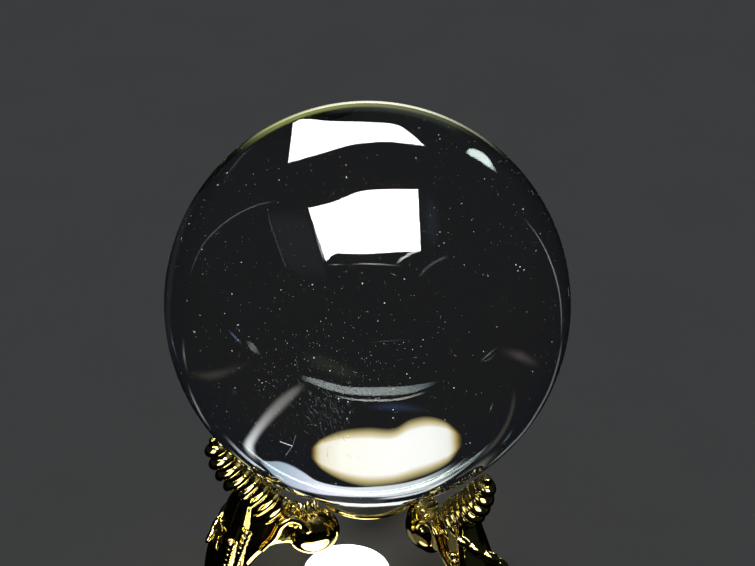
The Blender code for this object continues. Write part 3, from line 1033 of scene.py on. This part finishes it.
RIM_CARDS = [
    (*rim_band(203.4, 200.6, -43, 46), TOP_RIM_TONES, 0.5, 0.2),
    (*rim_band(202.6, 196.2, -43, 36), TOP_GLOW_TONES, 0.9, 0.2),
    (*rim_band(202.0, 191.0, -14, 30), [(26, 30, 26), (44, 48, 42), (26, 30, 26)], 1.0, 0.0),
    line_card([(226, 446), (243, 462), (263, 477), (285, 489)], 1.8,
              [(96, 100, 60), (196, 200, 150), (180, 184, 140)], 0.5),
    line_card([(432, 494), (456, 482), (481, 465), (502, 447)], 9,
              [(70, 76, 72), (96, 99, 88), (74, 77, 68), (44, 46, 42)], 0.9),
    line_card([(222, 433), (236, 448), (248, 459), (262, 470), (278, 482), (296, 492), (318, 500)], 3.2,
              [(70, 76, 84), (150, 158, 168), (196, 204, 212), (205, 212, 218), (214, 220, 226)], 0.5),
    line_card(
        [(312, 499), (338, 503.6), (367, 505.3), (396, 503.6), (421, 499), (446, 490), (468, 478),
         (489, 462)],
        3.6,
        [(205, 212, 218), (232, 238, 240), (234, 240, 242), (214, 220, 220), (160, 165, 160),
         (110, 114, 110)],
        0.4,
    ),
    line_card([(482, 471), (505, 451), (525, 430), (540, 407), (551, 385), (559, 358), (562.5, 334)], 2.4,
              [(104, 108, 104), (92, 97, 96), (82, 88, 88), (74, 80, 80), (62, 66, 68)], 0.7),
    line_card([(187, 382), (193, 398), (202, 416), (213, 432)], 2.6,
              [(56, 60, 62), (106, 112, 114), (80, 84, 86)], 0.8),
    line_card([(183, 334), (184, 355), (188, 376)], 3, [(40, 44, 46), (88, 91, 84), (50, 52, 48)], 0.9),
    line_card([(170, 322), (173, 344), (180, 366)], 2, [(40, 44, 52), (56, 60, 66), (36, 40, 44)], 0.8),
]

SEEN_THROUGH_CARDS = [
    (
        [(311, 447), (322, 438), (342, 430), (368, 427), (393, 428), (410, 419), (428, 416), (446, 421),
         (462, 434)],
        [(311, 459), (322, 470), (342, 481), (366, 487), (392, 485), (412, 480), (432, 473), (449, 463),
         (462, 447)],
        [(214, 208, 176), (255, 253, 240), (255, 255, 250), (250, 251, 246), (228, 230, 222)], 0.42, 0.9,
    ),
    (
        [(258, 459), (268, 461), (280, 461), (292, 465), (304, 472), (316, 480), (334, 485), (356, 487),
         (388, 485), (415, 480), (438, 471), (458, 459)],
        [(258, 461), (266, 468), (276, 478), (290, 487), (306, 492), (322, 495), (345, 497),
         (366, 497.5), (392, 497), (418, 492), (442, 484), (464, 470)],
        [(132, 150, 164), (158, 178, 192), (196, 206, 222), (232, 236, 250), (226, 232, 240),
         (200, 210, 210), (80, 88, 88)],
        0.12, 0.0,
    ),
    (
        [(302, 379), (290, 387), (275, 398), (261, 414), (249, 431), (242, 444), (247, 459)],
        [(312, 384), (299, 396), (286, 410), (270, 426), (259, 440), (256, 451), (265, 466)],
        [(66, 66, 64), (104, 103, 98), (126, 125, 120), (172, 174, 174), (222, 228, 228), (214, 220, 222)],
        0.9, 0.0,
    ),
    line_card([(372, 499.5), (398, 497), (424, 491), (448, 479), (470, 463), (492, 443)], 2.4,
              [(205, 210, 220), (222, 228, 232), (190, 196, 196), (120, 126, 122), (60, 64, 64)], 0.6),
    line_card([(404, 492), (428, 484), (452, 469), (470, 455)], 2,
              [(120, 126, 132), (170, 178, 180), (110, 116, 116)], 0.7),
]

OFF_BACK_CARDS = [
    (
        [(299, 375), (310, 377), (325, 381), (345, 386), (370, 387), (402, 386), (422, 383.5), (440, 380)],
        [(299, 379), (310, 383), (325, 389), (345, 394), (370, 396), (402, 395), (422, 390), (440, 382)],
        [(70, 78, 78), (108, 116, 114), (126, 134, 132), (130, 138, 137), (128, 136, 134),
         (96, 106, 106), (56, 68, 70)],
        0.25, 0.0,
    ),
    line_card([(332, 394.5), (347, 398.5), (370, 400.5), (397, 399.5), (415, 395.5), (428, 391)], 2.6,
              [(90, 98, 96), (152, 157, 148), (150, 155, 146), (80, 86, 84)], 0.6),
]

# How far a card stands from the ball in metres, at most how much of the way down to the table, its steps
# from one given point to the next and across, and how much brighter each kind is made
CARD_REACH = 0.6
CARD_FLOOR_SHARE = 0.85
CARD_STEPS_ALONG = 6
CARD_STEPS_ACROSS = 10
CARD_BOOST = {"mirrored": 1.25, "through": 1.0, "off back": 1.0}
GLOW_ATTRIBUTE = "glow"


def linear(tone):
    """A display tone from 0 to 255 as light."""
    value = tone / 255
    return value / 12.92 if value < 0.04 else ((value + 0.055) / 1.055) ** 2.4


def row_tone(tones, share):
    """The light a share of the way along a list of display tones."""
    span = share * (len(tones) - 1)
    row = min(int(span), len(tones) - 2) if len(tones) > 1 else 0
    first = tones[row]
    second = tones[min(row + 1, len(tones) - 1)]
    return [linear(between(pair, span - row)) for pair in zip(first, second)]


def add_cards(name, course, cards, group=None):
    """Glowing ribbons round the ball, hidden from the camera, that light all objects or one group."""
    shell = bmesh.new()
    glow = shell.verts.layers.float_color.new(GLOW_ATTRIBUTE)
    for edge, other_edge, tones, fade, warmth in cards:
        edge = smooth_path(edge, CARD_STEPS_ALONG)
        other_edge = smooth_path(other_edge, CARD_STEPS_ALONG)
        rows = []
        for i, (first, second) in enumerate(zip(edge, other_edge)):
            light = row_tone(tones, i / (len(edge) - 1))
            row = []
            for j in range(CARD_STEPS_ACROSS + 1):
                across = j / CARD_STEPS_ACROSS
                x, y = (between(pair, across) for pair in zip(first, second))
                place, heading, kept = trace(x, y, course)
                reach = CARD_REACH
                if heading.z < 0:
                    reach = min(reach, CARD_FLOOR_SHARE * place.z / -heading.z)
                vertex = shell.verts.new(place + heading * reach)
                shown = [1.0, 1.0, 1.0]
                if fade > 0:
                    inside = min(1.0, 2 * min(across, 1 - across) / fade)
                    inside *= min(1.0, min(i, len(edge) - 1 - i) / CARD_STEPS_ALONG)
                    inside = inside * inside * (3 - 2 * inside)
                    shown = [inside**power for power in (1 - warmth / 4, 1.0, 1 + warmth)]
                vertex[glow] = (*(CARD_BOOST[course] * a * b / kept for a, b in zip(light, shown)), 1.0)
                row.append(vertex)
            rows.append(row)
        for row, next_row in zip(rows, rows[1:]):
            for j in range(CARD_STEPS_ACROSS):
                shell.faces.new((row[j], row[j + 1], next_row[j + 1], next_row[j]))
    mesh = finished_mesh(name, shell)
    ribbons = new_object(name, mesh)
    mesh.materials.append(card_material(course))
    ribbons.visible_camera = False
    ribbons.visible_diffuse = False
    ribbons.visible_shadow = False
    ribbons.visible_glossy = course == "mirrored"
    ribbons.visible_transmission = course != "mirrored"
    ribbons.light_linking.receiver_collection = group
    return ribbons


def card_material(course):
    """A clear card's glow, seen straight or by the one course through the ball that it is meant for."""
    material, nodes, links, _ = new_material("card glow")
    nodes.clear()
    glow = nodes.new("ShaderNodeAttribute")
    glow.attribute_name = GLOW_ATTRIBUTE
    path = nodes.new("ShaderNodeLightPath")
    turns = path.outputs["Diffuse Depth"]
    if course == "mirrored":
        turns = add_math(nodes, links, "ADD", turns, path.outputs["Transmission Depth"])
    emission = nodes.new("ShaderNodeEmission")
    clear = nodes.new("ShaderNodeBsdfTransparent")
    both = nodes.new("ShaderNodeAddShader")
    output = nodes.new("ShaderNodeOutputMaterial")
    links.new(add_math(nodes, links, "LESS_THAN", turns, 0.5), emission.inputs["Strength"])
    links.new(glow.outputs["Color"], emission.inputs["Color"])
    links.new(emission.outputs["Emission"], both.inputs[0])
    links.new(clear.outputs["BSDF"], both.inputs[1])
    links.new(both.outputs["Shader"], output.inputs["Surface"])
    return material


# Panels that only one leg mirrors: the leg, the direction from the stand, in degrees right of +Y and above
# the level, half their width and height in degrees, their distance in millimetres and their radiance
GILT_PANELS = [
    ("left leg", -136.0, 28.0, 16.0, 16.0, 300.0, 3.6),
    ("left leg", 103.0, 9.0, 7.0, 6.0, 300.0, 1.2),
    ("right leg", -160.0, 36.0, 7.0, 7.0, 300.0, 1.6),
    ("right leg", 152.0, 36.0, 13.0, 11.0, 300.0, 4.0),
    ("right leg", -140.0, -5.0, 4.0, 4.0, 60.0, 4.5),
]
GILT_PANEL_CENTRE = Vector((0.0, -5.0, 15.0)) * MM

# Glowing discs on the table that only one leg mirrors: the leg, the centre, the half sizes, all in
# millimetres, and the radiance
GILT_POOLS = [
    ("left leg", (-4.0, -11.0), (9.0, 6.8), 4.0),
    ("right leg", (2.5, -9.3), (3.5, 1.5), 2.5),
]
GILT_POOL_HEIGHT = 0.2


def glow_plane(name, shell, placing, radiance, group):
    """A plain glowing card that lights one group of objects and is seen in their polish alone."""
    material, nodes, links, shader = new_material(name)
    shader.inputs["Base Color"].default_value = (0.0, 0.0, 0.0, 1.0)
    shader.inputs["Emission Color"].default_value = (1.0, 1.0, 1.0, 1.0)
    path = nodes.new("ShaderNodeLightPath")
    direct = add_math(nodes, links, "LESS_THAN", path.outputs["Transmission Depth"], 0.5)
    strength = add_math(nodes, links, "MULTIPLY", direct, radiance)
    links.new(strength, shader.inputs["Emission Strength"])
    bmesh.ops.transform(shell, matrix=placing, verts=shell.verts)
    mesh = finished_mesh(name, shell)
    mesh.materials.append(material)
    card = new_object(name, mesh)
    card.visible_camera = False
    card.visible_diffuse = False
    card.visible_transmission = False
    card.visible_shadow = False
    card.light_linking.receiver_collection = group


def add_gilt_cards(groups):
    for k, row in enumerate(GILT_PANELS):
        receiver, azimuth, elevation, half_width, half_height, distance, radiance = row
        turn = Matrix.Rotation(math.radians(-azimuth), 4, "Z")
        turn = turn @ Matrix.Rotation(math.radians(elevation), 4, "X")
        half_sizes = [distance * MM * math.tan(math.radians(half)) for half in (half_width, half_height)]
        shell = bmesh.new()
        bmesh.ops.create_grid(shell, x_segments=1, y_segments=1, size=1.0)
        upright = STAND_UP @ Matrix.Diagonal((*half_sizes, 1.0, 1.0))
        away = Matrix.Translation((0.0, distance * MM, 0.0))
        placing = Matrix.Translation(GILT_PANEL_CENTRE) @ turn @ away @ upright
        glow_plane(f"gilt panel {k + 1}", shell, placing, radiance, groups[receiver])
    for k, (receiver, centre, radii, radiance) in enumerate(GILT_POOLS):
        shell = bmesh.new()
        bmesh.ops.create_circle(shell, cap_ends=True, segments=48, radius=1.0)
        placing = Matrix.Translation((*centre, GILT_POOL_HEIGHT)) @ Matrix.Diagonal((*radii, 1.0, 1.0))
        placing = Matrix.Scale(MM, 4) @ placing
        glow_plane(f"gilt pool {k + 1}", shell, placing, radiance, groups[receiver])


# The two wide lights: their heading, their width in degrees and their strength
FLOOR_LIGHT = ((0.15, 0.25, -1.0), 40.0, math.pi * FLOOR_RADIANCE / FLOOR_ALBEDO)
DUST_LIGHT = ((0.1, 0.3, -1.0), 30.0, 6.0)


def add_lights(dust_group, floor_group, ball_group, gilt_groups):
    add_cards("window cards", "mirrored", WINDOW_CARDS)
    add_cards("faint cards", "mirrored", FAINT_CARDS + RIM_CARDS, ball_group)
    add_cards("seen through cards", "through", SEEN_THROUGH_CARDS)
    add_cards("off back cards", "off back", OFF_BACK_CARDS)
    add_wide_light("floor light", *FLOOR_LIGHT, floor_group)
    add_wide_light("dust light", *DUST_LIGHT, dust_group)
    add_pool_light(floor_group)
    add_gilt_cards(gilt_groups)


# The world as it is seen or mirrored, and as it is seen through the ball
WORLD_PLAIN = (0.006, 0.008, 0.010)
WORLD_SEEN_THROUGH = (0.0100, 0.0115, 0.0140)


def set_world():
    world = bpy.data.worlds.new("dim studio")
    world.use_nodes = True
    nodes = world.node_tree.nodes
    links = world.node_tree.links
    path = nodes.new("ShaderNodeLightPath")
    tone = add_mix(nodes, links, path.outputs["Is Transmission Ray"], WORLD_PLAIN, WORLD_SEEN_THROUGH)
    links.new(tone, nodes["Background"].inputs["Color"])
    bpy.context.scene.world = world


def main():
    make_camera()
    gilt = gilt_material()
    ball = add_ball()
    ring = add_ring(gilt)
    left_leg, right_leg, back_leg = add_legs(gilt)
    matt = dress_ball()
    floor = add_floor()
    add_lights(
        receivers("dust alone", matt),
        receivers("floor alone", [floor]),
        receivers("ball alone", [ball]),
        {
            "left leg": receivers("left leg and ring", [left_leg, ring]),
            "right leg": receivers("right and back legs", [right_leg, back_leg]),
        },
    )
    set_world()
    bpy.context.scene.view_settings.view_transform = "Standard"


main()
